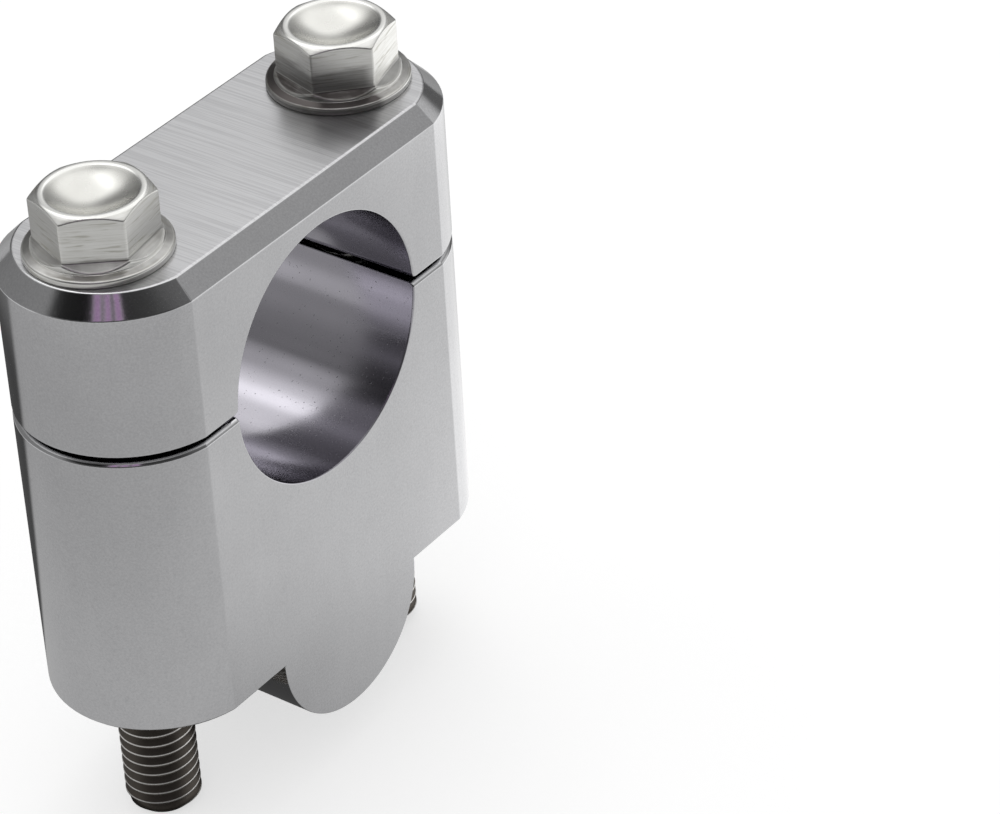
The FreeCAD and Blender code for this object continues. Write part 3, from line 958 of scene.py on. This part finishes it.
def floor_tone(shader, vector):
    """Reflected floor: grey in front, bright on the right, in shade behind the object, and with a
    painted shadow beneath it and close round it.
    """
    way = compass(shader, vector)
    distance = shader.node("ShaderNodeVectorMath", {"operation": "LENGTH"}, {0: vector},
                           output="Value")
    shade = around(shader, way, SHADE_STOPS)
    shade *= 1.0 - 0.6 * shader.between(distance, 0.105, 0.14)
    # Painted shadow: the reflected floor is darker close round the object.
    nearby = 0.78 + 0.22 * shader.between(distance, 0.051, 0.066)
    nearby -= 0.1 * shader.between(distance, 0.075, 0.105)
    nearby += 0.25 * shader.between(distance, 0.13, 0.16)
    nearby *= 1.0 + around(shader, way, BACK_STOPS) * shader.between(distance, 0.15, 0.25)
    # Painted shadow beneath the object.
    x, y = (shader.maths("ABSOLUTE", shader.part(vector, axis)) for axis in "XY")
    beneath = (1.0 - shader.between(x, 0.024, 0.032)) * (1.0 - shader.between(y, 0.008, 0.014))
    distant = around(shader, way, DISTANT_STOPS) * shader.between(distance, 0.14, 0.24)
    tone = around(shader, way, FLOOR_STOPS) * (1.0 - shade) * (1.0 - distant)
    return tone * (1.0 - 0.85 * beneath) * nearby


def seen_white(shader, tone):
    """White where the camera or a clear surface looks, and the studio's tone in reflections."""
    return shader.ray("Camera") + shader.ray("Transmission") + shader.ray("Glossy") * tone


def floor_material(stage):
    """A pale floor that keeps the object's shadow and has its own tone in reflections."""
    material = bpy.data.materials.new("pale_floor")
    shader = Shader(material)
    tone = floor_tone(shader, shader.place())
    mirrored = shader.ray("Glossy")
    pale = shader.blend(mirrored, stage.floor, (0.0, 0.0, 0.0))
    lit = shader.node("ShaderNodeBsdfDiffuse", {}, {"Color": pale})
    shown = seen_white(shader, tone) * (stage.glow + mirrored * (1.0 - stage.glow))
    glow = shader.node("ShaderNodeEmission", {}, {"Color": shown})
    both = shader.node("ShaderNodeAddShader", {}, {0: lit, 1: glow})
    shader.node("ShaderNodeOutputMaterial", {}, {"Surface": both})
    return material


def add_floor(scene, material):
    """The floor, just below the bolt tips."""
    level, far = CAD_BOX[0][2] - FLOOR_GAP, FLOOR_REACH
    data = bpy.data.meshes.new("floor")
    corners = ((-far, -far, level), (far, -far, level), (far, far, level), (-far, far, level))
    data.from_pydata(corners, [], [(0, 1, 2, 3)])
    data.materials.append(material)
    panel = bpy.data.objects.new("floor", data)
    scene.collection.objects.link(panel)


def studio_world(stage):
    """White for the camera, even light on the object, and the studio's tones in reflections."""
    world = bpy.data.worlds.new("studio")
    shader = Shader(world)
    direction = shader.node("ShaderNodeTexCoord", output="Generated")
    tubes = lilac_tubes(shader, direction) * shader.ray("Glossy")
    tone = sky_tone(shader, direction) + tubes
    light = seen_white(shader, tone) + shader.ray("Diffuse") * stage.sky
    hue = shader.blend(tubes, (1.0, 1.0, 1.0), stage.tubes)
    shown = shader.node("ShaderNodeVectorMath", {"operation": "SCALE"},
                        {"Vector": hue, "Scale": light})
    sky = shader.node("ShaderNodeBackground", {}, {"Color": shown})
    shader.node("ShaderNodeOutputWorld", {}, {"Surface": sky})
    return world


def add_lamp(scene, name, place, size, watts):
    """A soft square lamp that looks at the middle of the bore."""
    lamp = bpy.data.lights.new(name, "AREA")
    lamp.shape = "SQUARE"
    lamp.size = size
    lamp.energy = watts
    holder = bpy.data.objects.new(name, lamp)
    holder.visible_glossy = False
    holder.location = place
    holder.rotation_euler = (-Vector(place)).to_track_quat("-Z", "Y").to_euler()
    scene.collection.objects.link(holder)


def add_camera(scene, lens):
    """The camera, at the photograph's viewing angle."""
    data = bpy.data.cameras.new("camera")
    data.lens = lens
    data.sensor_width = SENSOR_WIDTH
    data.clip_start, data.clip_end = NEAREST, FARTHEST
    azimuth, elevation, roll = (math.radians(degrees) for degrees in CAMERA_ANGLES)
    back = Vector((math.sin(azimuth) * math.cos(elevation),
                   -math.cos(azimuth) * math.cos(elevation), math.sin(elevation)))
    level = Vector((math.cos(azimuth), math.sin(azimuth), 0.0))
    upright = back.cross(level)
    right = level * math.cos(roll) + upright * math.sin(roll)
    up = upright * math.cos(roll) - level * math.sin(roll)
    turned = Matrix((right, up, back)).transposed().to_4x4()
    camera = bpy.data.objects.new("camera", data)
    camera.matrix_world = Matrix.Translation(CAMERA_PLACE) @ turned
    scene.collection.objects.link(camera)
    scene.camera = camera


class BuildStage(bpy.types.Operator):
    """Build the pale floor, the lamps and the camera"""

    bl_idname = "riser.build_stage"
    bl_label = "Stage"

    def execute(self, context):
        scene = context.scene
        stage = scene.stage_settings
        add_floor(scene, floor_material(stage))
        scene.world = studio_world(stage)
        add_lamp(scene, "key", SOFTBOX_WAY, KEY_SIZE, stage.key)
        add_lamp(scene, "fill", FILL_PLACE, FILL_SIZE, stage.fill)
        add_camera(scene, stage.lens)
        scene.view_settings.view_transform = "Standard"
        return {"FINISHED"}


class RiserPanel(bpy.types.Panel):
    """The riser's sizes, finishes and build buttons"""

    bl_idname = "VIEW3D_PT_riser"
    bl_label = "Handlebar Riser"
    bl_space_type = "VIEW_3D"
    bl_region_type = "UI"
    bl_category = "Riser"

    def draw(self, context):
        layout = self.layout
        scene = context.scene
        for title, group, operators in (
            ("Clamp", scene.clamp_sizes, (BuildTopCap, BuildRiserBody)),
            ("Bolts", scene.bolt_sizes, (BuildFlangeBolts,)),
            ("Finishes", scene.finishes, ()),
            ("Stage", scene.stage_settings, (BuildStage,)),
        ):
            box = layout.box()
            box.label(text=title)
            for name in group.bl_rna.properties.keys():
                if name not in ("rna_type", "name"):
                    box.prop(group, name)
            for operator in operators:
                box.operator(operator.bl_idname)


GROUPS = (
    ("clamp_sizes", ClampSizes), ("bolt_sizes", BoltSizes), ("finishes", Finishes),
    ("stage_settings", StageSettings),
)
OPERATORS = (BuildTopCap, BuildRiserBody, BuildFlangeBolts, BuildStage)


def register():
    for name, group in GROUPS:
        bpy.utils.register_class(group)
        setattr(bpy.types.Scene, name, bpy.props.PointerProperty(type=group))
    for operator in OPERATORS:
        bpy.utils.register_class(operator)
    bpy.utils.register_class(RiserPanel)


def unregister():
    bpy.utils.unregister_class(RiserPanel)
    for operator in reversed(OPERATORS):
        bpy.utils.unregister_class(operator)
    for name, group in reversed(GROUPS):
        delattr(bpy.types.Scene, name)
        bpy.utils.unregister_class(group)


def main():
    register()
    bpy.ops.riser.build_top_cap()
    bpy.ops.riser.build_riser_body()
    bpy.ops.riser.build_flange_bolts()
    bpy.ops.riser.build_stage()


if __name__ == "__main__":
    main()
